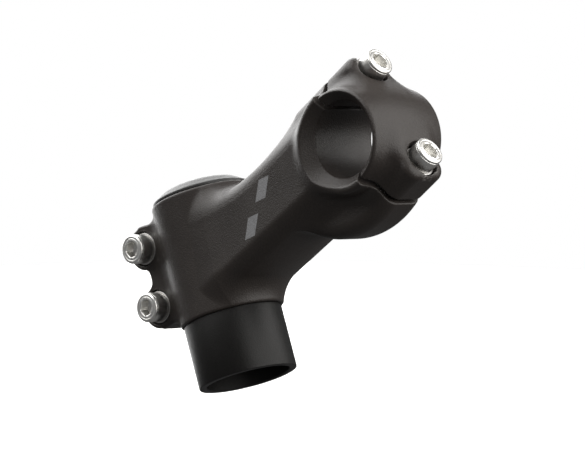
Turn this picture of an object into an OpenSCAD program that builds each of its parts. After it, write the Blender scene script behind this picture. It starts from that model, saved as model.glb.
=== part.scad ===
// Threadless handlebar stem with a two-bolt faceplate, its top cap and one headset spacer.
// Frame: the origin is on the steerer axis at the lower face of the steerer clamp.
// +Z runs up the steerer, +X forward to the handlebar, +Y to the rider's left. Millimetres.

/* [Steerer clamp] */
// Diameter of the steerer tube that the clamp grips
steerer_d = 28.6; // [28.4:0.1:28.8]
// Outer diameter of the clamp
clamp_d = 35.6; // [35:0.2:37]
// Height of the clamp along the steerer
clamp_h = 43; // [42:0.5:45]
// Height of each gripping land, at the bottom and at the top of the bore
land_h = 14; // [12:0.5:15]
// Depth of the relief between the two lands
relief = 0.5; // [0.4:0.1:0.8]
// Chamfer on the clamp's ends
clamp_chamfer = 1; // [0.6:0.1:1.4]

/* [Pinch lugs] */
// Width of the slot that lets the clamp close
slot_w = 2.4; // [1.6:0.2:3]
// Distance of the pinch bolts behind the steerer axis
pinch_x = 23.2; // [22.6:0.2:24]
// Height of the lower pinch bolt
pinch_z = 11.4; // [10.6:0.2:12]
// Distance between the two pinch bolts
pinch_spacing = 21; // [20:0.5:22]
// Radius of the boss around each pinch bolt
pinch_boss_r = 7.4; // [7:0.2:8]
// Distance from the middle of the stem to the outer face of a lug
pinch_face_y = 10.6; // [10:0.2:11.4]

/* [Extension] */
// Half width of the extension along its lower edge
ext_half_low = 16.5; // [15.5:0.25:17]
// Half width of the extension along its upper edge
ext_half_high = 14.5; // [13:0.25:16]
// Radius of the extension's long edges
ext_edge_r = 5; // [3.5:0.5:6]
// Height of the underside below the front of the clamp
ext_low_z = 6; // [5.4:0.2:6.6]
// Height of the top beside the clamp
ext_high_z = 38.2; // [37.4:0.2:39]
// Rise of the underside, in degrees
ext_low_rise = 14.6; // [13:0.2:16]

/* [Handlebar clamp] */
// Diameter of the handlebar
bar_d = 25.4; // [25:0.1:25.8]
// Distance of the handlebar in front of the steerer axis
reach = 81; // [80:0.5:83]
// Height of the handlebar above the clamp's lower face
bar_z = 34.8; // [34:0.2:35.4]
// Tilt of the faceplate bolts above +X, in degrees
split_tilt = 17; // [15:0.5:19]
// Half width of the handlebar clamp
bar_half_w = 16.5; // [16:0.25:18]
// Outer radius of the body's half of the clamp, in the middle
barrel_r = 19.5; // [19:0.25:20.5]
// Outer radius of the faceplate, in the middle
front_r = 18.75; // [18.5:0.25:19.5]
// How much smaller the body's outer radius is at the clamp's ends
rear_crown = 1.7; // [0.5:0.1:2]
// How much smaller the faceplate's outer radius is at the clamp's ends
front_crown = 2.5; // [1:0.1:2.5]
// Size of the countersink at each end of the handlebar bore
bar_chamfer = 3; // [1.5:0.25:3.25]
// Gap between the faceplate and the body
split_gap = 1.6; // [1:0.2:2.4]

/* [Faceplate lugs] */
// Distance between the two faceplate bolts
face_bolt_spacing = 36.5; // [36:0.25:37.5]
// Half width of the lugs
lug_half_w = 8.75; // [8.25:0.25:9.5]
// Distance from the handlebar's axis to the end of the upper lugs
lug_reach_up = 24.2; // [23.4:0.2:24.6]
// Distance from the handlebar's axis to the end of the lower lugs
lug_reach_down = 25.2; // [24.6:0.2:25.8]
// Radius of a lug's corners
lug_corner_r = 5; // [3:0.5:6]
// Distance from the handlebar's axis to a lug's front face
lug_front = 14; // [13.5:0.25:14.5]
// Radius of the round edge between a lug's front face and its end
lug_nose_r = 3; // [2:0.5:3.5]
// Radius of the swelling under the body's lower lug
belly_r = 35; // [33:1:38]
// Distance from the handlebar's axis down to the lowest point of the swelling
belly_reach = 26.4; // [26:0.2:27]

/* [Fasteners] */
// Nominal thread diameter
screw_d = 6; // [5.9:0.05:6]
// Diameter of a socket head
head_d = 10; // [9.8:0.1:10.2]
// Height of a socket head
head_h = 6; // [5.6:0.1:6]
// Width across the flats of the key socket
key_w = 5; // [4.9:0.1:5.1]
// Depth of the key socket
key_depth = 3.2; // [2.8:0.1:3.6]
// Outer diameter of a washer
washer_d = 11; // [10.6:0.1:11.4]
// Thickness of a washer
washer_t = 1; // [0.8:0.1:1.2]
// Length of a faceplate bolt under its head
face_bolt_l = 25; // [22:1:27]
// Length of a pinch bolt under its head
pinch_bolt_l = 20; // [18:1:20]
// Length of the top cap's bolt under its head
cap_bolt_l = 25; // [24:0.5:26]
// Height of the low head on the top cap's bolt
cap_head_h = 3; // [2.8:0.1:3.2]

/* [Top cap and star nut] */
// Diameter of the top cap
cap_d = 34; // [33:0.5:35]
// Height of the cap's outer edge
cap_edge_h = 1.5; // [1.2:0.1:2]
// Height of the cap in the middle
cap_h = 4; // [3.5:0.25:4.5]
// Diameter of the star nut's springs
star_d = 25.2; // [24.6:0.1:25.6]
// Number of points on each spring
star_points = 12; // [8:1:14]

/* [Spacer] */
// Outer diameter of the headset spacer
spacer_d = 34; // [33.5:0.1:35]
// Height of the headset spacer
spacer_h = 22; // [20:0.5:25]

/* [Hidden] */

$fn = 96;
cut = 0.5; // how far a cutting solid runs past the face it cuts
edge = 0.6; // small chamfer on turned edges
wide = 100; // more than any size here, for solids that cut half of space away
seat_gap = 0.03; // play between a screw, its washer and its seat
thread_play = 0.05; // radial play of a screw in its thread
hole_play = 0.3; // radial play of a screw in a plain hole

steerer_r = steerer_d / 2;
clamp_r = clamp_d / 2;
bar_r = bar_d / 2;
screw_r = screw_d / 2 - thread_play;
tapped_r = screw_d / 2;
plain_r = screw_d / 2 + hole_play;
spotface_r = washer_d / 2 + 0.5;
pinch_zs = [pinch_z, pinch_z + pinch_spacing];
face_sides = [1, -1]; // upper and lower faceplate bolt
half_pitch = face_bolt_spacing / 2;
lug_seat = lug_front - 2.5; // floor of a faceplate bolt's spot-face
pinch_seat = pinch_face_y - 1.6; // floor of a pinch bolt's spot-face
tapped_depth = 16; // depth of the body's threads behind the split
cap_seat = clamp_h + 1.2; // floor of the recess for the top cap's bolt
spigot_r = 11.5; // centring spigot under the top cap
star_low = 19.5; // lower end of the star nut's barrel
star_h = 9;
spacer_play = 0.2; // radial play of the spacer on the steerer

// A smooth maximum: the larger of a and b, rounded over k.
function smooth_max(a, b, k) = (a + b + sqrt(pow(a - b, 2) + k * k)) / 2;

// ---- The extension: rounded sections along X, joined into one closed solid ----

bar_line_z = 50; // height of the top where it meets the handlebar clamp
bar_line_x = 68;
low_x = 22.5; // where ext_low_z is measured
low_crown = 2;
high_crown = 1;
arc_steps = 4;
flat_steps = 4;
stations = [2, 10, 18, 24, 30, 36, 42, 50, 60, 71];

function ext_low(x) = ext_low_z + (x - low_x) * tan(ext_low_rise);
function ext_high(x) =
    smooth_max(ext_high_z, bar_line_z - (bar_line_x - x) * tan(split_tilt), 2.5);

// One corner, from angle a0 to a1 about a centre at half width w - r.
function corner(w, z, a0, a1) = [
    for (i = [0:arc_steps])
        let (a = a0 + (a1 - a0) * i / arc_steps)
            [w + ext_edge_r * cos(a), z + ext_edge_r * sin(a)]
];

// The shallow curve between two corners, from half width w0 to w1, with its top at z.
function crown(w0, w1, z, drop) = [
    for (i = [1:flat_steps - 1])
        let (w = w0 + (w1 - w0) * i / flat_steps)
            [w, z + drop * pow(w / w0, 2)]
];

function section(x) =
    let (
        wl = ext_half_low - ext_edge_r, // where the corners have their centres
        wh = ext_half_high - ext_edge_r,
        al = atan(2 * low_crown / ext_half_low), // slope where crown and corner meet
        ah = atan(2 * high_crown / ext_half_high),
        el = wl + ext_edge_r * sin(al), // half width of each crown
        eh = wh + ext_edge_r * sin(ah),
        zl = ext_low(x),
        zh = ext_high(x),
        cl = zl + low_crown + ext_edge_r * cos(al),
        ch = zh - high_crown - ext_edge_r * cos(ah)
    )
    concat(
        corner(wl, cl, -90 + al, 0),
        corner(wh, ch, 0, 90 - ah),
        crown(eh, -eh, zh, -high_crown),
        corner(-wh, ch, 90 + ah, 180),
        corner(-wl, cl, 180, 270 - al),
        crown(-el, el, zl, low_crown)
    );

module loft(xs) {
    rings = [for (x = xs) [for (p = section(x)) [x, p[0], p[1]]]];
    n = len(rings[0]);
    last = (len(xs) - 1) * n;
    sides = [
        for (i = [0:len(xs) - 2], j = [0:n - 1])
            let (a = i * n + j, b = i * n + (j + 1) % n)
                each [[a, b + n, b], [a, a + n, b + n]]
    ];
    start = [[for (j = [0:n - 1]) j]];
    end = [[for (j = [n - 1:-1:0]) last + j]];
    polyhedron([for (ring = rings, p = ring) p], concat(sides, start, end));
}

// ---- Helpers for the two directions that things point in ----

// Moves children from the handlebar frame (x = bolt direction, z = up the split) into place.
module at_bar() {
    translate([reach, 0, bar_z]) rotate([0, -split_tilt, 0]) children();
}

// A cylinder along +Y, centred on the handlebar's axis.
module along_y(r, half) {
    rotate([90, 0, 0]) cylinder(r = r, h = 2 * half, center = true);
}

// A cylinder that runs forward along the bolt direction from x = from to x = to.
module along_bolt(r, from, to) {
    translate([from, 0, 0]) rotate([0, 90, 0]) cylinder(r = r, h = to - from);
}

// Extrudes an outline drawn in x and z to both sides of the middle plane.
module plate(half) {
    rotate([90, 0, 0]) linear_extrude(2 * half, center = true) children();
}

// ---- Handlebar clamp shapes, shared by the body and the faceplate ----

// The clamp's outside: a slightly crowned barrel around the handlebar.
module barrel(r, crown) {
    steps = 6;
    rotate([90, 0, 0]) rotate_extrude() polygon(concat(
        [[0, -bar_half_w]],
        [
            for (i = [-steps:steps])
                let (s = i / steps)
                    [r - crown * s * s, s * bar_half_w]
        ],
        [[0, bar_half_w]]
    ));
}

// A rectangle from (x0, y0) to (x1, y1) with rounded corners.
module rounded_box(x0, y0, x1, y1, r) {
    translate([x0 + r, y0]) square([x1 - x0 - 2 * r, y1 - y0]);
    translate([x0, y0 + r]) square([x1 - x0, y1 - y0 - 2 * r]);
    for (x = [x0 + r, x1 - r], y = [y0 + r, y1 - r]) translate([x, y]) circle(r = r);
}

// The two lugs seen from the front as one strip, from x = from to x = to. It ends at down.
module lug_strip(from, to, down) {
    translate([from, 0, 0]) rotate([0, 90, 0]) linear_extrude(to - from)
        rounded_box(-lug_reach_up, -lug_half_w, down, lug_half_w, lug_corner_r);
}

// The handlebar bore with its countersunk ends.
module bar_bore() {
    along_y(bar_r, bar_half_w + cut);
    for (side = [-1, 1])
        rotate([side * 90, 0, 0]) translate([0, 0, bar_half_w - bar_chamfer])
            cylinder(r1 = bar_r, r2 = bar_r + bar_chamfer + cut, h = bar_chamfer + cut);
}

// ---- Fasteners ----

// A socket-head screw along +Z: its head rests on z = 0 and its shank points down.
module socket_screw(shank_l, high = head_h, socket = key_depth) {
    difference() {
        union() {
            translate([0, 0, seat_gap]) rotate_extrude() polygon([
                [0, 0],
                [head_d / 2 - 0.3, 0],
                [head_d / 2, 0.3],
                [head_d / 2, high - 0.7],
                [head_d / 2 - 0.7, high],
                [0, high],
            ]);
            translate([0, 0, -shank_l]) cylinder(r1 = screw_r - 0.8, r2 = screw_r, h = 0.8);
            translate([0, 0, 0.8 - shank_l]) cylinder(r = screw_r, h = shank_l);
        }
        translate([0, 0, high - socket + seat_gap])
            cylinder(d = key_w / cos(30), h = socket + cut, $fn = 6);
    }
}

// A washer under a screw: its upper face is at z = 0.
module washer() {
    translate([0, 0, -washer_t]) difference() {
        cylinder(d = washer_d, h = washer_t);
        translate([0, 0, -cut]) cylinder(r = plain_r, h = washer_t + 2 * cut);
    }
}

// Places children, whose +Z points out of the head, at a faceplate bolt's washer.
module at_face_bolt(side) {
    at_bar() translate([lug_seat + washer_t + seat_gap, 0, side * half_pitch])
        rotate([0, 90, 0]) children();
}

// Places children at a pinch bolt's washer; the heads face the rider's right.
module at_pinch_bolt(z) {
    translate([-pinch_x, -pinch_seat - washer_t - seat_gap, z]) rotate([90, 0, 0]) children();
}

// ---- Sub-parts ----

// The lugs behind the clamp: two bosses and the web that joins them to it.
module pinch_lugs() {
    web_x = pinch_x + 1.6;
    mid_z = pinch_z + pinch_spacing / 2;
    scallop_r = 9;
    plate(pinch_face_y) difference() {
        union() {
            for (z = pinch_zs) translate([-pinch_x, z]) circle(r = pinch_boss_r);
            translate([-web_x, pinch_zs[0]]) square([web_x - 5, pinch_spacing]);
            translate([-pinch_x, pinch_zs[0] - pinch_boss_r])
                square([pinch_x - 5, pinch_spacing + 2 * pinch_boss_r]);
        }
        translate([-web_x - scallop_r + 1.4, mid_z]) circle(r = scallop_r);
    }
}

// The solid behind the split: lugs above and below, and the swelling under the lower one.
module rear_lugs() {
    back = 33; // how far the lugs run back into the extension
    shoulder = 17; // length of the upper lug's level top
    shoulder_drop = 6;
    belly_x = -8; // where the swelling is deepest
    at_bar() intersection() {
        plate(lug_half_w) {
            polygon([
                [-back, 0],
                [-back, lug_reach_up - shoulder_drop],
                [-shoulder, lug_reach_up],
                [0, lug_reach_up],
                [0, 0],
            ]);
            intersection() {
                translate([belly_x, belly_r - belly_reach]) circle(r = belly_r, $fn = 180);
                translate([-back, -belly_reach]) square([back, belly_reach + cut]);
            }
        }
        lug_strip(-back - cut, 0, belly_reach);
    }
}

module steerer_bore() {
    translate([0, 0, -cut]) cylinder(r = steerer_r, h = clamp_h + 2 * cut);
    translate([0, 0, land_h]) cylinder(r = steerer_r + relief, h = clamp_h - 2 * land_h);
    translate([0, 0, clamp_h - edge])
        cylinder(r1 = steerer_r, r2 = steerer_r + edge + cut, h = edge + cut);
}

module clamp_tube() {
    rotate_extrude() polygon([
        [0, 0],
        [clamp_r - edge, 0],
        [clamp_r, edge],
        [clamp_r, clamp_h - clamp_chamfer],
        [clamp_r - clamp_chamfer, clamp_h],
        [0, clamp_h],
    ]);
}

// Spot-face, plain hole and thread of one pinch bolt, whose head is on the right.
module pinch_hole() {
    far = pinch_x;
    translate([0, -pinch_seat, 0]) rotate([90, 0, 0]) cylinder(r = spotface_r, h = far);
    rotate([90, 0, 0]) cylinder(r = plain_r, h = far);
    translate([0, -cut, 0]) rotate([-90, 0, 0]) cylinder(r = tapped_r, h = far);
}

module stem_body() {
    color("#3b3836") difference() {
        union() {
            clamp_tube();
            pinch_lugs();
            loft(stations);
            at_bar() barrel(barrel_r, rear_crown);
            rear_lugs();
        }
        steerer_bore();
        translate([-pinch_x - 2 * pinch_boss_r, -slot_w / 2, -cut])
            cube([pinch_x + 2 * pinch_boss_r, slot_w, clamp_h + 2 * cut]);
        for (z = pinch_zs) translate([-pinch_x, 0, z]) pinch_hole();
        at_bar() {
            bar_bore();
            translate([-split_gap / 2, -wide / 2, -wide / 2]) cube(wide);
            for (side = face_sides) translate([0, 0, side * half_pitch])
                along_bolt(tapped_r, -tapped_depth, cut);
        }
    }
}

module faceplate() {
    color("#4a4643") at_bar() difference() {
        union() {
            barrel(front_r, front_crown);
            intersection() {
                plate(lug_half_w) {
                    circle(r = front_r);
                    rounded_box(-lug_front, -lug_reach_down, lug_front, lug_reach_up, lug_nose_r);
                }
                lug_strip(0, front_r + cut, lug_reach_down);
            }
        }
        bar_bore();
        translate([split_gap / 2 - wide, -wide / 2, -wide / 2]) cube(wide);
        for (side = face_sides) translate([0, 0, side * half_pitch]) {
            along_bolt(plain_r, -cut, lug_front);
            along_bolt(spotface_r, lug_seat, barrel_r + 2);
        }
    }
}

module faceplate_bolt(side) {
    color("silver") at_face_bolt(side) socket_screw(face_bolt_l);
}

module faceplate_washer(side) {
    color("gray") at_face_bolt(side) washer();
}

module pinch_bolt(z) {
    color("silver") at_pinch_bolt(z) socket_screw(pinch_bolt_l);
}

module pinch_washer(z) {
    color("gray") at_pinch_bolt(z) washer();
}

// A shallow dished cap with a centring spigot and a recess for its bolt.
module top_cap() {
    color("#242424") difference() {
        rotate_extrude() polygon([
            [0, clamp_h - 2.5],
            [spigot_r - 0.5, clamp_h - 2.5],
            [spigot_r, clamp_h - 2],
            [spigot_r, clamp_h + seat_gap],
            [cap_d / 2, clamp_h + seat_gap],
            [cap_d / 2, clamp_h + cap_edge_h - 0.3],
            [cap_d / 2 - 0.8, clamp_h + cap_edge_h],
            [cap_d / 2 - 4, clamp_h + cap_h - 0.4],
            [cap_d / 2 - 5.5, clamp_h + cap_h],
            [0, clamp_h + cap_h],
        ]);
        translate([0, 0, cap_seat]) cylinder(r = head_d / 2 + 1, h = cap_h);
        cylinder(r = plain_r, h = clamp_h + cap_h);
    }
}

module top_cap_bolt() {
    color("silver") translate([0, 0, cap_seat])
        socket_screw(cap_bolt_l, cap_head_h, cap_head_h - 0.8);
}

module star_nut_barrel() {
    color("darkgray") translate([0, 0, star_low]) difference() {
        cylinder(r = 5.5, h = star_h);
        translate([0, 0, -cut]) cylinder(r = tapped_r, h = star_h + 2 * cut);
    }
}

// One toothed spring that grips the inside of the steerer.
module star_spring(z) {
    spring_t = 0.8;
    outline = [
        for (i = [0:2 * star_points - 1])
            let (a = i * 180 / star_points, r = i % 2 == 0 ? star_d / 2 : star_d / 2 - 3.4)
                [r * cos(a), r * sin(a)]
    ];
    translate([0, 0, z]) difference() {
        linear_extrude(spring_t) polygon(outline);
        translate([0, 0, -cut]) cylinder(r = 5.5, h = spring_t + 2 * cut);
    }
}

module star_nut_spring_upper() {
    color("dimgray") star_spring(star_low + star_h - 1.8);
}

module star_nut_spring_lower() {
    color("dimgray") star_spring(star_low + 1);
}

module steerer_spacer() {
    r = spacer_d / 2;
    color("#2c2b2a") translate([0, 0, -spacer_h]) difference() {
        rotate_extrude() polygon([
            [0, 0],
            [r - 0.4, 0],
            [r, 0.4],
            [r, spacer_h - 0.4 - seat_gap],
            [r - 0.4, spacer_h - seat_gap],
            [0, spacer_h - seat_gap],
        ]);
        translate([0, 0, -cut]) cylinder(r = steerer_r + spacer_play, h = spacer_h + 2 * cut);
    }
}

stem_body();
faceplate();
faceplate_bolt(face_sides[0]);  // faceplate_bolt_upper
faceplate_bolt(face_sides[1]);  // faceplate_bolt_lower
faceplate_washer(face_sides[0]);  // faceplate_washer_upper
faceplate_washer(face_sides[1]);  // faceplate_washer_lower
pinch_bolt(pinch_zs[1]);  // pinch_bolt_upper
pinch_bolt(pinch_zs[0]);  // pinch_bolt_lower
pinch_washer(pinch_zs[1]);  // pinch_washer_upper
pinch_washer(pinch_zs[0]);  // pinch_washer_lower
top_cap();
top_cap_bolt();
star_nut_barrel();
star_nut_spring_upper();
star_nut_spring_lower();
steerer_spacer();
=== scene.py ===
"""Looks of a threadless handlebar stem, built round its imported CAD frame."""

import math

import bmesh
import bpy
import numpy as np
from mathutils import Matrix, Vector


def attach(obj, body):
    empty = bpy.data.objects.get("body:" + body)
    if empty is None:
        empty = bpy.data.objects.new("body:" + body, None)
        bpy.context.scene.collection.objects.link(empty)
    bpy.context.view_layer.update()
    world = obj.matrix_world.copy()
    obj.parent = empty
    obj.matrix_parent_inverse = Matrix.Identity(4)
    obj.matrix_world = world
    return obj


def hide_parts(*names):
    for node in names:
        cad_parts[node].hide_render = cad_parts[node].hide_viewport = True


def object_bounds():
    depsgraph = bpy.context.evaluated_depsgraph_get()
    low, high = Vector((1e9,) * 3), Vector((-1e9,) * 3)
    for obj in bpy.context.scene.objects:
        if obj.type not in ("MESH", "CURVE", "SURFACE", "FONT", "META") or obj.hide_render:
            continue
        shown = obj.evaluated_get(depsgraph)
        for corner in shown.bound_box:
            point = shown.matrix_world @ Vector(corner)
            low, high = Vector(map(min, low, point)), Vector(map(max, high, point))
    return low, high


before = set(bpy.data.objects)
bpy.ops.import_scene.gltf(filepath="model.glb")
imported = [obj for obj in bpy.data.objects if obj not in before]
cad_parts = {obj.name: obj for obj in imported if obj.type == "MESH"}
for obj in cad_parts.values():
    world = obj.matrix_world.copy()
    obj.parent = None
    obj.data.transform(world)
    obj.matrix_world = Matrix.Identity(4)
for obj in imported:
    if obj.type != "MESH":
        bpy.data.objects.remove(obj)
cad_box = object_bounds()

MM = 0.001  # the shapes below are in millimetres, as in the CAD source

# ---- Sizes, as in the CAD source -------------------------------------------------
STEERER_R, CLAMP_R, CLAMP_H, LAND, RELIEF = 14.3, 17.8, 43.0, 14.0, 0.5
SLOT_HALF, PINCH_X, PINCH_Z, BOSS_R, PINCH_Y = 1.2, 23.2, (11.4, 32.4), 7.4, 10.6
EXT_LOW, EXT_HIGH, EXT_R, EXT_LOW_Z, EXT_HIGH_Z, EXT_RISE = 16.5, 14.5, 5.0, 6.0, 38.2, 14.6
BAR_R, REACH, BAR_Z, TILT, BAR_W, BARREL_R = 12.7, 81.0, 34.8, math.radians(17), 16.5, 19.5
FRONT_R, REAR_CROWN, FRONT_CROWN, COUNTERSINK, SPLIT_HALF = 18.75, 1.7, 2.5, 3.0, 0.8
HALF_PITCH, LUG_W, LUG_UP, LUG_DOWN, LUG_R, LUG_FRONT = 18.25, 8.75, 24.2, 25.2, 5.0, 14.0
LUG_SEAT, PINCH_SEAT, BELLY_R, BELLY, NOSE_R = LUG_FRONT - 2.5, 9.0, 35.0, 26.4, 3.0
HEAD_R, HEAD_H, KEY_W, KEY_DEPTH, WASHER_R, WASHER_T = 5.0, 6.0, 5.0, 3.2, 5.5, 1.0
PLAIN_R, TAPPED_R, SPOT_R, GAP = 3.3, 3.0, 6.0, 0.03
FLAT_TO_X, OUT_OF_REACH = 22, 40
FACE_SCREW, PINCH_SCREW, CAP_SCREW, CAP_HEAD_H, CAP_KEY_DEPTH = 25, 20, 25, 3.0, 2.2

BAR_N = np.array([math.cos(TILT), 0.0, math.sin(TILT)])
BAR_M = np.array([-math.sin(TILT), 0.0, math.cos(TILT)])
BAR_C = np.array([REACH, 0.0, BAR_Z])


# ---- Distance functions: negative inside, in millimetres -------------------------
def round_max(a, b, r):
    """Both a and b, with the edge between them rounded to radius r."""
    return np.minimum(np.maximum(a, b), -r) + np.hypot(np.maximum(a + r, 0), np.maximum(b + r, 0))


def round_min(a, b, r):
    """Either a or b, with a fillet of radius r between them."""
    return np.maximum(np.minimum(a, b), r) - np.hypot(np.maximum(r - a, 0), np.maximum(r - b, 0))


def cut_out(a, hole, r):
    """a with hole taken out, its rim rounded to radius r."""
    return round_max(a, -hole, r)


def bar_frame(p):
    """Place as seen from the bar: n out through the faceplate, y along the bar, m up the split."""
    q = p - BAR_C
    return q @ BAR_N, p[:, 1], q @ BAR_M


def barrel(n, y, m, r, crown):
    """A clamp half's outside: radius r, smaller by crown at its two ends."""
    return round_max(np.hypot(n, m) - (r - crown * (y / BAR_W) ** 2), abs(y) - BAR_W, 1.3)


def bar_bore(n, y, m):
    wide = np.maximum(abs(y) - (BAR_W - COUNTERSINK), 0)
    return np.hypot(n, m) - BAR_R - wide


def extension(x, y, z):
    low = EXT_LOW_Z + (x - 22.5) * math.tan(math.radians(EXT_RISE))
    line = 50 - (68 - x) * math.tan(TILT)
    high = (EXT_HIGH_Z + line + np.sqrt((EXT_HIGH_Z - line) ** 2 + 2.5**2)) / 2
    t = np.clip((z - low - 7) / np.maximum(high - low - 13, 1), 0, 1)
    side = abs(y) - (EXT_LOW + (EXT_HIGH - EXT_LOW) * t)
    under = (low + 2 * (y / 12.7) ** 2 - z) * math.cos(math.radians(EXT_RISE))
    over = (z - high + (y / 10.2) ** 2) * 0.97
    e = round_max(side, np.maximum(under, over), EXT_R)
    return np.maximum(e, np.maximum(2 - x, x - 71))


def ears(x, y, z):
    """The pinch lugs: two bosses and the web between them, scalloped behind."""
    def block(x0, z0, z1):
        return np.maximum(np.maximum(x0 - x, x + 5), np.maximum(z0 - z, z - z1))
    outline = np.minimum(block(-PINCH_X - 1.6, *PINCH_Z),
                         block(-PINCH_X, PINCH_Z[0] - BOSS_R, PINCH_Z[1] + BOSS_R))
    scallop = np.hypot(x + 32.4, z - sum(PINCH_Z) / 2) - 9
    outline = cut_out(outline, scallop, 1.0)
    for pz in PINCH_Z:
        outline = round_min(outline, np.hypot(x + PINCH_X, z - pz) - BOSS_R, 1.5)
    return round_max(outline, abs(y) - PINCH_Y, 1.1)


def rear_lugs(n, y, m):
    top = LUG_UP - np.maximum(-17 - n, 0) * 6 / 16
    outline = np.maximum(m - top, np.hypot(n + 8, m - BELLY_R + BELLY) - BELLY_R)
    return np.maximum(round_max(outline, abs(y) - LUG_W, LUG_R), np.maximum(n, -33 - n))


def stem_body(p):
    x, y, z = p.T
    n, _, m = bar_frame(p)
    rho = np.hypot(x, y)
    tube = round_max(rho - CLAMP_R, abs(z - CLAMP_H / 2) - CLAMP_H / 2, 0.9)
    d = round_min(tube, extension(x, y, z), 0.5 + 6.5 * np.clip((x - 4) / 9, 0, 1))
    d = round_min(d, ears(x, y, z), 3)
    clamp = round_min(barrel(n, y, m, BARREL_R, REAR_CROWN), rear_lugs(n, y, m), 3)
    d = round_min(d, clamp, 5)
    # The steerer clamp's ends are cut flat. Past FLAT_TO_X the cut is out of reach of the
    # surface, as the extension and the bar clamp rise above the steerer clamp there.
    d = np.maximum(d, np.maximum(-z, z - CLAMP_H) - OUT_OF_REACH * (x > FLAT_TO_X))
    relief = RELIEF * np.clip(np.minimum(z - LAND, CLAMP_H - LAND - z) + 0.5, 0, 1)
    d = cut_out(d, rho - STEERER_R - relief, 0.45)
    d = cut_out(d, np.maximum(abs(y) - SLOT_HALF, x), 0.4)
    for pz in PINCH_Z:
        r = np.hypot(x + PINCH_X, z - pz)
        d = cut_out(d, np.maximum(r - PLAIN_R, y), 0.3)
        d = cut_out(d, np.maximum(r - TAPPED_R, -y), 0.3)
        d = cut_out(d, np.maximum(r - SPOT_R, y + PINCH_SEAT), 0.3)
    d = cut_out(d, bar_bore(n, y, m), 0.4)
    d = round_max(d, n + SPLIT_HALF, 0.4)
    for side in (1, -1):
        r = np.hypot(y, m - side * HALF_PITCH)
        d = cut_out(d, np.maximum(r - TAPPED_R, -16 - n), 0.4)
    return d


def faceplate(p):
    n, y, m = bar_frame(p)
    lug = round_max(abs(y) - LUG_W, np.maximum(m - LUG_UP, -LUG_DOWN - m), LUG_R)
    lug = round_max(lug, n - LUG_FRONT, NOSE_R)
    d = round_min(barrel(n, y, m, FRONT_R, FRONT_CROWN), lug, 4)
    d = cut_out(d, bar_bore(n, y, m), 0.4)
    d = round_max(d, SPLIT_HALF - n, 0.4)
    for side in (1, -1):
        r = np.hypot(y, m - side * HALF_PITCH)
        d = cut_out(d, r - PLAIN_R, 0.3)
        d = cut_out(d, np.maximum(r - SPOT_R, LUG_SEAT - n), 0.3)
    return d


# ---- Meshing a distance function --------------------------------------------------
def gradient(f, v, h=0.02):
    g = np.empty_like(v)
    for k in range(3):
        e = np.zeros(3)
        e[k] = h
        g[:, k] = (f(v + e) - f(v - e)) / (2 * h)
    return g


def settle(vals):
    """Moves the nearest corner of each chequered grid face to its other side.

    On such a face the surface would meet itself, and four faces would share one edge.
    """
    for _ in range(30):
        flips = []
        for u, w in ((0, 1), (1, 2), (2, 0)):
            face = []
            for du, dw in ((0, 0), (1, 0), (1, 1), (0, 1)):
                cut = [slice(None)] * 3
                cut[u] = slice(du, vals.shape[u] - 1 + du)
                cut[w] = slice(dw, vals.shape[w] - 1 + dw)
                face.append(vals[tuple(cut)])
            a, b, c, d = (part < 0 for part in face)
            at = np.argwhere((a == c) & (b == d) & (a != b))
            if not len(at):
                continue
            near = np.argmin([abs(part[tuple(at.T)]) for part in face], axis=0)
            at[:, u] += np.isin(near, (1, 2))
            at[:, w] += near >= 2
            flips.append(at)
        if not flips:
            return
        at = tuple(np.unique(np.concatenate(flips), axis=0).T)
        vals[at] = np.where(vals[at] < 0, 1e-3, -1e-3)


def surface(f, lo, hi, step):
    """Surface nets: one vertex in each grid cell that the surface crosses, then moved onto it."""
    axes = [np.arange(a, b, step) for a, b in zip(lo, hi)]
    shape = tuple(len(a) for a in axes)
    vals = np.empty(shape)
    yy, zz = np.meshgrid(axes[1], axes[2], indexing="ij")
    for i, x in enumerate(axes[0]):
        vals[i] = f(np.stack([np.full(yy.size, x), yy.ravel(), zz.ravel()], 1)).reshape(yy.shape)
    settle(vals)
    inside = vals < 0
    cells = tuple(s - 1 for s in shape)
    total, count = np.zeros(cells + (3,)), np.zeros(cells)
    corners = [(i, j, k) for i in (0, 1) for j in (0, 1) for k in (0, 1)]

    def corner(a, c):
        return a[c[0]:c[0] + cells[0], c[1]:c[1] + cells[1], c[2]:c[2] + cells[2]]

    for c in corners:
        for axis in range(3):
            if c[axis]:
                continue
            e = list(c)
            e[axis] = 1
            a, b = corner(vals, c), corner(vals, e)
            crosses = corner(inside, c) != corner(inside, e)
            t = np.where(crosses, a / np.where(crosses, a - b, 1), 0)
            for k in range(3):
                total[..., k] += crosses * (c[k] + (t if k == axis else 0))
            count += crosses
    used = count > 0
    index = np.full(cells, -1)
    index[used] = np.arange(used.sum())
    where = np.argwhere(used)
    v = np.array(lo) + step * (where + total[used] / count[used][:, None])
    quads = []
    for axis in range(3):
        u, w = (axis + 1) % 3, (axis + 2) % 3
        one = [slice(None)] * 3
        two = [slice(None)] * 3
        one[axis], two[axis] = slice(0, -1), slice(1, None)
        a, b = inside[tuple(one)], inside[tuple(two)]
        at = np.argwhere(a != b)
        at = at[(at[:, u] > 0) & (at[:, w] > 0) & (at[:, u] < cells[u]) & (at[:, w] < cells[w])]
        out = a[tuple(at.T)]
        ids = []
        for du, dw in ((1, 1), (0, 1), (0, 0), (1, 0)):
            q = at.copy()
            q[:, u] -= du
            q[:, w] -= dw
            ids.append(index[tuple(q.T)])
        q = np.stack(ids, 1)
        q[~out] = q[~out][:, ::-1]
        quads.append(q)
    for _ in range(4):
        g = gradient(f, v)
        size = np.maximum((g * g).sum(1), 0.25)
        v -= np.clip(f(v) / size, -step, step)[:, None] * g
    g = gradient(f, v, 0.08)
    g /= np.maximum(np.linalg.norm(g, axis=1), 1e-9)[:, None]
    return v, np.concatenate(quads), g


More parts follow.
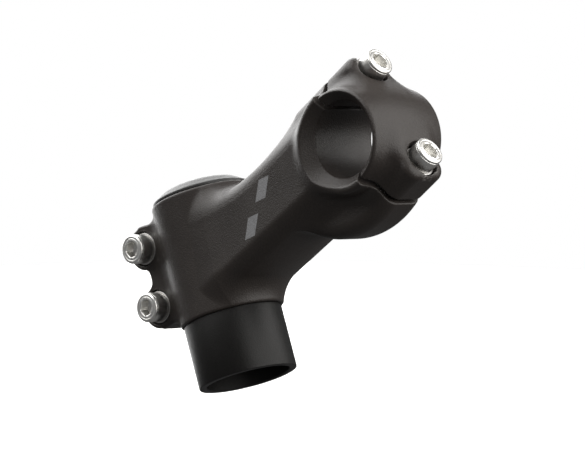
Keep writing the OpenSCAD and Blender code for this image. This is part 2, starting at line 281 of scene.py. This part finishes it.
def edge_share(f, v, g, reach):
    """How strongly the surface turns at each point: 1 on a tight outer edge, 0 where flat."""
    return np.clip(f(v - reach * g) / reach + 1, 0, 1)


def new_object(name, verts, faces, normals=None, attributes=None, sharp=None):
    mesh = bpy.data.meshes.new(name)
    mesh.from_pydata(np.asarray(verts) * MM, [], [list(map(int, q)) for q in faces])
    mesh.validate()
    mesh.polygons.foreach_set("use_smooth", [True] * len(mesh.polygons))
    if sharp is not None:
        mesh.set_sharp_from_angle(angle=math.radians(sharp))
    if normals is not None and len(mesh.vertices) == len(normals):
        mesh.normals_split_custom_set_from_vertices([tuple(n) for n in normals])
    for key, values in (attributes or {}).items():
        layer = mesh.attributes.new(key, "FLOAT", "POINT")
        layer.data.foreach_set("value", np.asarray(values, np.float32))
    mesh.update()
    o = bpy.data.objects.new(name, mesh)
    bpy.context.scene.collection.objects.link(o)
    return o


def modelled(name, f, lo, hi, step):
    v, q, g = surface(f, lo, hi, step)
    return new_object(name, v, q, g, {"edge": edge_share(f, v, g, 0.8)})


# ---- Turned pieces -----------------------------------------------------------------
ROUND = 72  # points round every turned piece, a multiple of twelve so that a hexagon's corners fit
SHANK_R, THREAD_DEPTH, PITCH, THREAD_STEPS = 2.95, 0.5, 1.0, 8  # M6: one turn for each millimetre
SCREW_SHARP, WASHER_SHARP, TURNED_SHARP = 32, 50, 35  # degrees


def rings_to_mesh(rings, first_centre=None, last_centre=None, closed=False):
    """Rings of ROUND points each, joined in order, with a centre point at either end or joined up."""
    v = [p for ring in rings for p in ring]
    faces = []
    pairs = list(range(len(rings) - 1)) + ([len(rings) - 1] if closed else [])
    for i in pairs:
        a, b = i * ROUND, ((i + 1) % len(rings)) * ROUND
        for j in range(ROUND):
            k = (j + 1) % ROUND
            faces.append((a + j, b + j, b + k, a + k))
    for centre, base, flip in ((first_centre, 0, True), (last_centre, (len(rings) - 1) * ROUND, False)):
        if centre is None:
            continue
        v.append(centre)
        c = len(v) - 1
        for j in range(ROUND):
            k = (j + 1) % ROUND
            faces.append((c, base + j, base + k) if flip else (c, base + k, base + j))
    return v, faces


ANGLES = [2 * math.pi * j / ROUND for j in range(ROUND)]


def circle(r, z):
    return [(r * math.cos(a), r * math.sin(a), z) for a in ANGLES]


def hexagon(width, z, corner=1.0):
    """A ring of a hexagon's outline; corner below 1 draws it towards a circle."""
    out = []
    for a in ANGLES:
        off = (a + math.pi / 6) % (math.pi / 3) - math.pi / 6
        r = width / 2 / math.cos(off) ** corner
        out.append((r * math.cos(a), r * math.sin(a), z))
    return out


def thread_rings(r, depth, z0, z1):
    """Rings of a helical thread from z0 down to z1: it fades in over one pitch and ends in a taper."""
    rings = []
    for i in range(int(round((z0 - z1) * THREAD_STEPS)) + 1):
        z = z0 - i / THREAD_STEPS
        fade = max(min((z0 - z) / PITCH, 1), 0)
        ring = []
        for a in ANGLES:
            phase = (z - a / (2 * math.pi)) % 1.0
            groove = depth * min(max(2.4 * abs(phase - 0.5) - 0.1, 0), 1)
            rr = min(r - groove * fade, r - 1.0 + (z - z1) / PITCH)
            ring.append((rr * math.cos(a), rr * math.sin(a), z))
        rings.append(ring)
    return rings


def finish_piece(name, v, f, place, sharp):
    """A turned piece from its rings, put in its place, with edges steeper than sharp degrees left sharp."""
    v = np.asarray(v, float)
    v = v @ place[:3, :3].T + place[:3, 3]
    o = new_object(name, v, f, sharp=sharp)
    bm = bmesh.new()
    bm.from_mesh(o.data)
    bmesh.ops.remove_doubles(bm, verts=bm.verts, dist=1e-7)
    bmesh.ops.recalc_face_normals(bm, faces=bm.faces)
    bm.to_mesh(o.data)
    bm.free()
    o.data.set_sharp_from_angle(angle=math.radians(sharp))
    return o


def screw(name, length, high, socket, place):
    """A socket-head screw along +Z: the head rests just above z = 0 and the thread points down."""
    top, low = high + GAP, GAP
    floor = top - socket
    rings = [circle(0.9, floor - 0.75), hexagon(KEY_W * 0.99, floor), hexagon(KEY_W, floor + 0.08),
             hexagon(KEY_W, top - 0.45), hexagon(KEY_W + 0.25, top - 0.12, 0.8),
             hexagon(KEY_W + 0.65, top, 0.5),
             circle(HEAD_R - 1.35, top), circle(HEAD_R - 1.2, top - 0.07), circle(HEAD_R - 1.05, top)]
    for k in range(7):
        a = math.radians(90 - 15 * k)
        rings.append(circle(HEAD_R - 0.7 + 0.7 * math.cos(a), top - 0.7 + 0.7 * math.sin(a)))
    rings += [circle(HEAD_R - 0.07, top - 1.1), circle(HEAD_R, top - 1.17), circle(HEAD_R, low + 0.35),
              circle(HEAD_R - 0.1, low + 0.12), circle(HEAD_R - 0.3, low), circle(3.3, low),
              circle(3.0, low - 0.12), circle(SHANK_R, -0.4)]
    rings += thread_rings(SHANK_R, THREAD_DEPTH, -0.9, -length)
    v, f = rings_to_mesh(rings, (0, 0, floor - 0.95), (0, 0, -length))
    return finish_piece(name, v, f, place, SCREW_SHARP)


def frame_matrix(origin, z_axis, x_axis):
    z = np.array(z_axis, float)
    x = np.array(x_axis, float)
    m = np.eye(4)
    m[:3, 0], m[:3, 1], m[:3, 2], m[:3, 3] = x, np.cross(z, x), z, origin
    return m


def face_place(side):
    seat = BAR_C + BAR_N * (LUG_SEAT + WASHER_T + GAP) + BAR_M * side * HALF_PITCH
    return frame_matrix(seat, BAR_N, BAR_M)


def pinch_place(z):
    return frame_matrix([-PINCH_X, -PINCH_SEAT - WASHER_T - GAP, z], [0, -1, 0], [0, 0, 1])


UP = np.eye(4)


def washer(name, place):
    r0, r1, t, e = PLAIN_R, WASHER_R, WASHER_T, 0.14
    loop = [(r0, -t + e), (r0, -e), (r0 + e, 0), (r1 - 2 * e, 0), (r1 - 0.4 * e, -0.6 * e), (r1, -2 * e),
            (r1, -t + e), (r1 - e, -t), (r0 + e, -t)]
    v, f = rings_to_mesh([circle(r, z) for r, z in loop], closed=True)
    return finish_piece(name, v, f, place, WASHER_SHARP)


# ---- Materials ----------------------------------------------------------------------
class Nodes:
    """A short way to write a node material."""

    def __init__(self, name):
        self.mat = bpy.data.materials.new(name)
        self.mat.use_nodes = True
        self.tree = self.mat.node_tree
        self.bsdf = self.tree.nodes["Principled BSDF"]
        self.coords = self.add("ShaderNodeTexCoord").outputs["Object"]

    def add(self, kind, **values):
        node = self.tree.nodes.new(kind)
        for key, value in values.items():
            setattr(node, key, value)
        return node

    def link(self, a, b):
        self.tree.links.new(a, b)

    def set(self, node, **inputs):
        for key, value in inputs.items():
            socket = node.inputs[key.replace("_", " ")]
            if isinstance(value, bpy.types.NodeSocket):
                self.link(value, socket)
            else:
                socket.default_value = value
        return node

    def mapping(self, scale):
        node = self.add("ShaderNodeMapping")
        self.link(self.coords, node.inputs["Vector"])
        node.inputs["Scale"].default_value = scale
        return node.outputs["Vector"]

    def noise(self, scale, detail=4, rough=0.55, vector=None):
        node = self.add("ShaderNodeTexNoise")
        self.set(node, Vector=vector or self.coords, Scale=scale, Detail=detail, Roughness=rough)
        return node.outputs["Fac"]

    def voronoi(self, scale, feature="F1"):
        node = self.add("ShaderNodeTexVoronoi", feature=feature)
        self.set(node, Vector=self.coords, Scale=scale)
        return node.outputs["Distance"]

    def remap(self, value, lo, hi, to_lo=0.0, to_hi=1.0):
        node = self.add("ShaderNodeMapRange")
        for i, x in enumerate((value, lo, hi, to_lo, to_hi)):
            if isinstance(x, bpy.types.NodeSocket):
                self.link(x, node.inputs[i])
            else:
                node.inputs[i].default_value = x
        return node.outputs[0]

    def math(self, op, a, b=0.0, c=0.0):
        node = self.add("ShaderNodeMath", operation=op)
        for i, x in enumerate((a, b, c)):
            if isinstance(x, bpy.types.NodeSocket):
                self.link(x, node.inputs[i])
            else:
                node.inputs[i].default_value = x
        return node.outputs[0]

    def mix(self, factor, a, b):
        node = self.add("ShaderNodeMix", data_type="RGBA")
        for i, x in ((0, factor), (6, a), (7, b)):
            if isinstance(x, bpy.types.NodeSocket):
                self.link(x, node.inputs[i])
            else:
                node.inputs[i].default_value = x
        return node.outputs[2]

    def attribute(self, name):
        return self.add("ShaderNodeAttribute", attribute_name=name).outputs["Fac"]

    def bump(self, height, distance, strength):
        node = self.add("ShaderNodeBump")
        self.set(node, Height=height, Distance=distance, Strength=strength)
        return node.outputs["Normal"]


STRIPE_GREY, BARE_METAL = (0.17, 0.17, 0.175, 1), (0.28, 0.27, 0.26, 1)


def paint(name, dark, light, grain, wear, shine, stripes=None):
    """Textured black paint: a fine pebbled grain, cloudy tone, handling shine and worn edges."""
    k = Nodes(name)
    pebble = k.voronoi(2600, "SMOOTH_F1")
    fine = k.noise(3200, 2)
    cloud = k.noise(45, 5)
    scuff = k.noise(600, 6, 0.7, k.mapping((1, 1, 6)))
    tone = k.mix(k.remap(cloud, 0.3, 0.7), (*dark, 1), (*light, 1))
    tone = k.mix(k.remap(pebble, 0.1, 0.6, 0, 0.35), tone, (*[1.6 * c for c in light], 1))
    rough = k.remap(cloud, 0.3, 0.7, 0.36, 0.47)
    if stripes:
        mask = stripes(k)
        tone = k.mix(mask, tone, STRIPE_GREY)
        rough = k.math("MULTIPLY_ADD", mask, -0.08, rough)
    edge = k.attribute("edge")
    chipped = k.math("MULTIPLY", k.remap(edge, 0.25, 0.7), k.remap(scuff, 0.5, 0.62))
    chipped = k.math("MULTIPLY", chipped, wear)
    tone = k.mix(chipped, tone, BARE_METAL)
    rough = k.math("MULTIPLY_ADD", k.remap(scuff, 0.35, 0.75), 0.10, rough)
    height = k.math("ADD", k.math("MULTIPLY", pebble, grain), k.math("MULTIPLY", fine, 0.35 * grain))
    k.set(k.bsdf, Base_Color=tone, Roughness=rough, Normal=k.bump(height, 0.00012, 0.55))
    k.bsdf.inputs["Specular IOR Level"].default_value = shine
    return k.mat


def steel(name, colour, rough, streak, tint=(0.5, 0.47, 0.42)):
    """Plated steel: turned rings, faint blotches of tarnish, and fine scratches."""
    k = Nodes(name)
    blotch = k.noise(500, 6, 0.6)
    turned_rings = k.noise(1800, 3, 0.6)
    scratch = k.noise(2400, 8, 0.75, k.mapping((1, 0.15, 1)))
    tone = k.mix(k.remap(blotch, 0.45, 0.75, 0, 0.5), (*colour, 1), (*tint, 1))
    rgh = k.math("MULTIPLY_ADD", k.remap(blotch, 0.3, 0.7), 0.12, rough)
    rgh = k.math("MULTIPLY_ADD", k.remap(scratch, 0.4, 0.6), streak, rgh)
    height = k.math("MULTIPLY_ADD", turned_rings, 0.4, scratch)
    k.set(k.bsdf, Base_Color=tone, Roughness=rgh, Normal=k.bump(height, 0.00002, 0.35))
    k.bsdf.inputs["Metallic"].default_value = 1.0
    return k.mat


def stripes(k):
    """Two equal slanted grey bars on both sides of the extension."""
    axes = k.add("ShaderNodeSeparateXYZ")
    k.link(k.coords, axes.inputs[0])
    x, y, z = (k.math("MULTIPLY", axes.outputs[i], 1000) for i in range(3))
    side = k.remap(k.math("ABSOLUTE", y), 7.6, 8.0)

    def bar(x0, z0):
        lean = k.math("MULTIPLY_ADD", z, BAR_SLANT, x0 - BAR_SLANT * z0)
        across = k.math("ABSOLUTE", k.math("SUBTRACT", x, lean))
        along = k.math("ABSOLUTE", k.math("SUBTRACT", z, z0))
        return k.math("MULTIPLY", k.remap(across, BAR_HALF_W, BAR_HALF_W - BAR_SOFT),
                      k.remap(along, BAR_HALF_H, BAR_HALF_H - BAR_SOFT))

    mask = k.math("MAXIMUM", bar(42.0, 31.5), bar(34.0, 21.0))
    worn = k.remap(k.noise(900, 6, 0.7), 0.30, 0.46, 0.55, 1.0)
    return k.math("MULTIPLY", k.math("MULTIPLY", mask, side), worn)


BAR_SLANT, BAR_HALF_W, BAR_HALF_H, BAR_SOFT = 0.5, 2.6, 3.4, 0.15
WARM_BLACK = (0.0140, 0.0112, 0.0098), (0.0225, 0.0182, 0.0160)
BODY_PAINT = paint("textured_black_paint", *WARM_BLACK, 1.0, 0.5, 0.34, stripes)
FRONT_PAINT = paint("textured_black_paint_faceplate", *WARM_BLACK, 1.0, 0.5, 0.34)
SPACER_PAINT = paint("satin_black_anodised", (0.0035, 0.0033, 0.0031), (0.0055, 0.0052, 0.0049),
                     0.45, 0.25, 0.2)
CAP_PAINT = paint("cap_black_paint", (0.014, 0.014, 0.014), (0.020, 0.0195, 0.019), 0.6, 0.4, 0.35)
SCREW_STEEL = steel("bright_plated_steel", (0.76, 0.755, 0.735), 0.25, 0.10)
WASHER_STEEL = steel("washer_steel", (0.45, 0.44, 0.43), 0.32, 0.12)
BLACK_STEEL = steel("black_oxide_steel", (0.06, 0.06, 0.062), 0.36, 0.12, (0.10, 0.08, 0.06))
ZINC_STEEL = steel("zinc_steel", (0.55, 0.55, 0.53), 0.34, 0.14)

# ---- The pieces ------------------------------------------------------------------------
BODY_STEP, PLATE_STEP = ((0.53, 0.45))  # grid steps in mm


def place_piece(o, body, nodes, material):
    o.data.materials.clear()
    o.data.materials.append(material)
    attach(o, body)
    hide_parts(*nodes)
    return o


place_piece(modelled("stem_body_form", stem_body, (-32.5, -18.5, -1.5), (91, 18.6, 60), BODY_STEP),
            "stem", ["stem_body"], BODY_PAINT)
place_piece(modelled("faceplate_form", faceplate, (70, -18, 0), (110, 18, 66), PLATE_STEP),
            "faceplate", ["faceplate"], FRONT_PAINT)
for word, side in (("upper", 1), ("lower", -1)):
    place_piece(screw(f"faceplate_screw_{word}", FACE_SCREW, HEAD_H, KEY_DEPTH, face_place(side)),
                f"faceplate_bolt_{word}", [f"faceplate_bolt_{word}"], SCREW_STEEL)
    place_piece(washer(f"faceplate_ring_{word}", face_place(side)),
                f"faceplate_washer_{word}", [f"faceplate_washer_{word}"], WASHER_STEEL)
    z = PINCH_Z[1] if side > 0 else PINCH_Z[0]
    place_piece(screw(f"pinch_screw_{word}", PINCH_SCREW, HEAD_H, KEY_DEPTH, pinch_place(z)),
                f"pinch_bolt_{word}", [f"pinch_bolt_{word}"], SCREW_STEEL)
    place_piece(washer(f"pinch_ring_{word}", pinch_place(z)),
                f"pinch_washer_{word}", [f"pinch_washer_{word}"], WASHER_STEEL)

CAP_R, CAP_EDGE, CAP_H, SPIGOT_R = 17.0, 1.5, 4.0, 11.5
CAP_SEAT = CLAMP_H + 1.2
cap_loop = [(3.3, CLAMP_H - 2.5), (SPIGOT_R - 0.5, CLAMP_H - 2.5), (SPIGOT_R, CLAMP_H - 2.0),
            (SPIGOT_R, CLAMP_H + GAP), (CAP_R - 0.2, CLAMP_H + GAP), (CAP_R, CLAMP_H + 0.25),
            (CAP_R, CLAMP_H + CAP_EDGE - 0.6), (CAP_R - 0.25, CLAMP_H + CAP_EDGE - 0.25),
            (CAP_R - 0.9, CLAMP_H + CAP_EDGE), (CAP_R - 2.5, CLAMP_H + 2.7),
            (CAP_R - 4.0, CLAMP_H + 3.55), (CAP_R - 5.0, CLAMP_H + 3.9),
            (CAP_R - 6.5, CLAMP_H + CAP_H), (6.6, CLAMP_H + CAP_H), (6.2, CLAMP_H + CAP_H - 0.15),
            (6.0, CLAMP_H + CAP_H - 0.5), (6.0, CAP_SEAT + 0.2), (5.8, CAP_SEAT), (3.5, CAP_SEAT),
            (3.3, CAP_SEAT - 0.2)]
v, f = rings_to_mesh([circle(r, z) for r, z in cap_loop], closed=True)
place_piece(finish_piece("top_cap_disc", v, f, UP, TURNED_SHARP), "top_cap", ["top_cap"],
            CAP_PAINT)
cap_place = np.eye(4)
cap_place[2, 3] = CAP_SEAT
place_piece(screw("top_cap_screw", CAP_SCREW, CAP_HEAD_H, CAP_KEY_DEPTH, cap_place),
            "top_cap_bolt", ["top_cap_bolt"], BLACK_STEEL)

SPACER_R, SPACER_H = 17.0, 22.0
inner = STEERER_R + 0.2
loop = [(inner, -0.5), (inner + 0.35, -GAP), (SPACER_R - 0.45, -GAP), (SPACER_R - 0.12, -0.13),
        (SPACER_R, -0.5),
        (SPACER_R, 0.5 - SPACER_H), (SPACER_R - 0.12, 0.12 - SPACER_H), (SPACER_R - 0.45, -SPACER_H),
        (inner + 0.35, -SPACER_H), (inner, 0.4 - SPACER_H)]
v, f = rings_to_mesh([circle(r, z) for r, z in loop], closed=True)
place_piece(finish_piece("spacer_ring", v, f, UP, TURNED_SHARP), "steerer_spacer", ["steerer_spacer"],
            SPACER_PAINT)
for name in ("star_nut_barrel", "star_nut_spring_upper", "star_nut_spring_lower"):
    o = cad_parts[name]
    o.data.materials.clear()
    o.data.materials.append(ZINC_STEEL)

# ---- Camera, floor and light ---------------------------------------------------------------
AZIMUTH, ELEVATION, LEAN = math.radians(44), math.radians(1.54), math.radians(20)
DISTANCE, LENS = 1.22, 225
FLOOR_DROP, FLOOR_SIZE = 1.0, 40  # a stem stands about a metre above the ground
WORLD_LIGHT, WORLD_SEEN = 0.16, 1.0
to_row = Matrix.Rotation(LEAN, 3, "Y")
toward = to_row @ Vector((math.sin(AZIMUTH) * math.cos(ELEVATION), -math.cos(AZIMUTH) * math.cos(ELEVATION),
                          math.sin(ELEVATION)))
world_up = to_row @ Vector((0, 0, 1))
low, high = cad_box
centre = (low + high) / 2


def look_at(place, target, up):
    back = (place - target).normalized()
    right = up.cross(back).normalized()
    m = Matrix((right, back.cross(right), back)).transposed().to_4x4()
    m.translation = place
    return m


cam_data = bpy.data.cameras.new("camera")
cam = bpy.data.objects.new("camera", cam_data)
bpy.context.scene.collection.objects.link(cam)
cam_data.lens = LENS
cam_data.clip_start, cam_data.clip_end = 0.05, 50
cam.matrix_world = look_at(centre + toward * DISTANCE, centre, world_up)
bpy.context.scene.camera = cam

bpy.ops.mesh.primitive_plane_add(size=FLOOR_SIZE)
floor = bpy.context.object
floor.name = "floor"
floor.matrix_world = look_at(-world_up * FLOOR_DROP, -world_up * (FLOOR_DROP + 1), Vector((0, 1, 0)))
k = Nodes("pale_floor")
pale = k.mix(k.remap(k.noise(8, 3), 0.3, 0.7), (0.90, 0.90, 0.895, 1), (0.87, 0.87, 0.868, 1))
k.set(k.bsdf, Base_Color=pale, Roughness=0.8)
floor.data.materials.append(k.mat)


def sun(name, direction, strength, width, colour=(1, 1, 1)):
    """A broad soft light from a direction given in the level frame of the floor."""
    data = bpy.data.lights.new(name, "SUN")
    data.energy, data.angle, data.color = strength, math.radians(width), colour
    o = bpy.data.objects.new(name, data)
    bpy.context.scene.collection.objects.link(o)
    o.matrix_world = look_at(to_row @ Vector(direction), Vector((0, 0, 0)), Vector((0, 1, 0)))


sun("key", (0.9, 0.28, 0.36), 5.6, 92, (1.0, 0.985, 0.96))
sun("side", (-0.65, -0.5, 1.05), 3.6, 68, (1.0, 0.995, 0.985))
sun("back", (-0.9, 0.42, 0.4), 3.4, 68)

world = bpy.data.worlds.new("studio")
bpy.context.scene.world = world
world.use_nodes = True
# The world shows white but lights the stem less, so that its darks stay dark.
background = world.node_tree.nodes["Background"]
background.inputs["Color"].default_value = (1, 1, 1, 1)
seen = world.node_tree.nodes.new("ShaderNodeLightPath")
strength = world.node_tree.nodes.new("ShaderNodeMapRange")
strength.inputs[3].default_value, strength.inputs[4].default_value = WORLD_LIGHT, WORLD_SEEN
world.node_tree.links.new(seen.outputs["Is Camera Ray"], strength.inputs[0])
world.node_tree.links.new(strength.outputs[0], background.inputs["Strength"])
# The real ground is too far below a stem to light it or to show in it.
floor.visible_diffuse = floor.visible_glossy = False
bpy.context.scene.view_settings.view_transform = "Standard"
